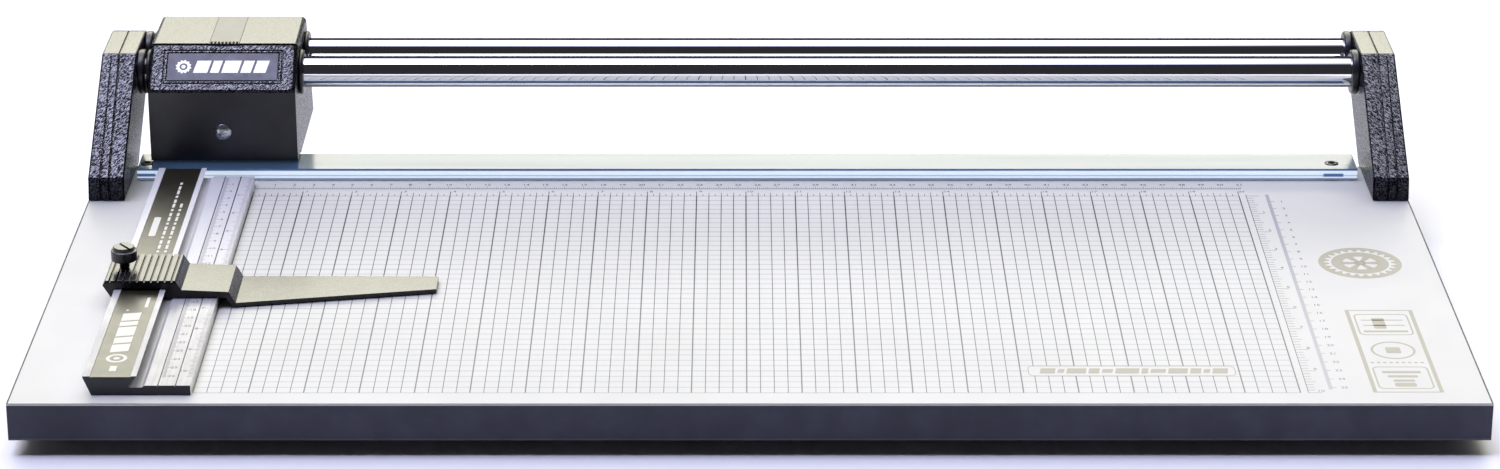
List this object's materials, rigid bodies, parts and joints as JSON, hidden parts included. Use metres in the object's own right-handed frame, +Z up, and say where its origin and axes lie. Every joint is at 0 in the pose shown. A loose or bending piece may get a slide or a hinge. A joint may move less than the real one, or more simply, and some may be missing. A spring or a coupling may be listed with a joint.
{
  "type": "rotary paper trimmer",
  "caption": "Rotary paper trimmer: printed baseboard, end frames with twin chrome rails, sliding wheel head, sprung clear clamp strip, and side guide with a sliding stop.",
  "frame": {"origin": "middle of the bounding box on the surface that the feet stand on", "axes": "+X along the rails and the long side of the board, +Y from the front edge towards the blade, +Z up"},
  "size_m": [0.678, 0.384, 0.0916],
  "materials": {
    "laminate": "satin white laminate with a printed grid and scales",
    "board_core": "fibreboard",
    "backer": "dark backing laminate",
    "edge_band": "satin blue-black edge band",
    "rubber": "matte",
    "zinc_screw": "bright zinc",
    "black_screw": "black oxide",
    "crinkle_paint": "black crinkle paint on casting",
    "satin_paint": "smooth satin black paint",
    "chrome": "polished hard chrome",
    "blade_steel": "ground hardened steel",
    "mill_aluminium": "mill",
    "guide_aluminium": "satin silver anodised, with printed scales",
    "label": "satin black label",
    "clear_plastic": "clear, faintly blue",
    "badge": "smooth satin black plaque with a plain white device",
    "bush_bronze": "sintered bronze",
    "spring_steel": "drawn wire",
    "black_anodised": "satin black anodised",
    "felt": "felt",
    "brass": "turned"
  },
  "bodies": {
    "base": {"baseboard": "board_core", "top_laminate": "laminate", "bottom_laminate": "backer", "edge_banding": "edge_band", "rubber_feet": "rubber", "foot_screws": "zinc_screw", "blade_bar": "mill_aluminium", "bottom_blade": "blade_steel", "bar_screws": "zinc_screw", "blade_screws": "zinc_screw", "left_end_frame": "crinkle_paint", "right_end_frame": "crinkle_paint", "left_end_cover": "crinkle_paint", "right_end_cover": "crinkle_paint", "end_frame_screws": "zinc_screw", "end_cover_screws": "black_screw", "front_rail": "chrome", "rear_rail": "chrome", "rail_end_plugs": "mill_aluminium", "rail_bolts": "zinc_screw", "front_left_buffer": "rubber", "front_right_buffer": "rubber", "rear_left_buffer": "rubber", "rear_right_buffer": "rubber", "side_guide": "guide_aluminium", "guide_label": "label", "guide_screws": "zinc_screw", "strip_screws": "zinc_screw", "strip_springs": "spring_steel"},
    "strip": {"clamp_strip": "clear_plastic"},
    "head": {"head_housing": "crinkle_paint", "badge_plate": "badge", "top_inlay": "satin_paint", "front_skirt": "satin_paint", "rear_guard": "satin_paint", "skirt_screws": "zinc_screw", "guard_screws": "zinc_screw", "front_left_bush": "bush_bronze", "front_right_bush": "bush_bronze", "rear_left_bush": "bush_bronze", "rear_right_bush": "bush_bronze", "front_left_wiper": "rubber", "front_right_wiper": "rubber", "rear_left_wiper": "rubber", "rear_right_wiper": "rubber", "wheel_bracket": "mill_aluminium", "bracket_screws": "zinc_screw", "wheel_axle": "zinc_screw", "thrust_washers": "zinc_screw", "wheel_spring": "spring_steel", "axle_nut": "zinc_screw"},
    "wheel": {"cutting_wheel": "blade_steel", "wheel_hub": "mill_aluminium", "wheel_bearing": "bush_bronze", "wheel_screws": "zinc_screw"},
    "stop": {"stop_arm": "black_anodised", "stop_glide": "felt"},
    "tip": {"clamp_tip": "brass"},
    "screw": {"thumb_screw": "black_anodised"}
  },
  "joints": [
    {"name": "head_slide", "type": "slide", "parent": "base", "child": "head", "axis": [1, 0, 0], "range_m": [-0.0007, 0.547]},
    {"name": "wheel_spin", "type": "hinge", "parent": "head", "child": "wheel", "pos_m": [-0.27325, 0.12205, 0.0495], "axis": [0, 1, 0], "continuous": true},
    {"name": "strip_press", "type": "slide", "parent": "base", "child": "strip", "axis": [0, 0, -1], "range_m": [0, 0.0007], "stiffness_N_per_m": 600, "springref_m": -0.002, "deforming": ["strip_springs"]},
    {"name": "stop_slide", "type": "slide", "parent": "base", "child": "stop", "axis": [0, 1, 0], "range_m": [-0.1, 0.128]},
    {"name": "tip_lift", "type": "slide", "parent": "stop", "child": "tip", "axis": [0, 0, 1], "range_m": [0, 0.0012]},
    {"name": "screw_turn", "type": "hinge", "parent": "tip", "child": "screw", "pos_m": [-0.3022, -0.0592, 0.045], "axis": [0, 0, 1], "range_deg": [0, 540]}
  ],
  "couplings": [
    {"joint": "wheel_spin", "follows": "head_slide", "rad_per_m": 40},
    {"joint": "screw_turn", "follows": "tip_lift", "rad_per_m": 7853.9}
  ]
}
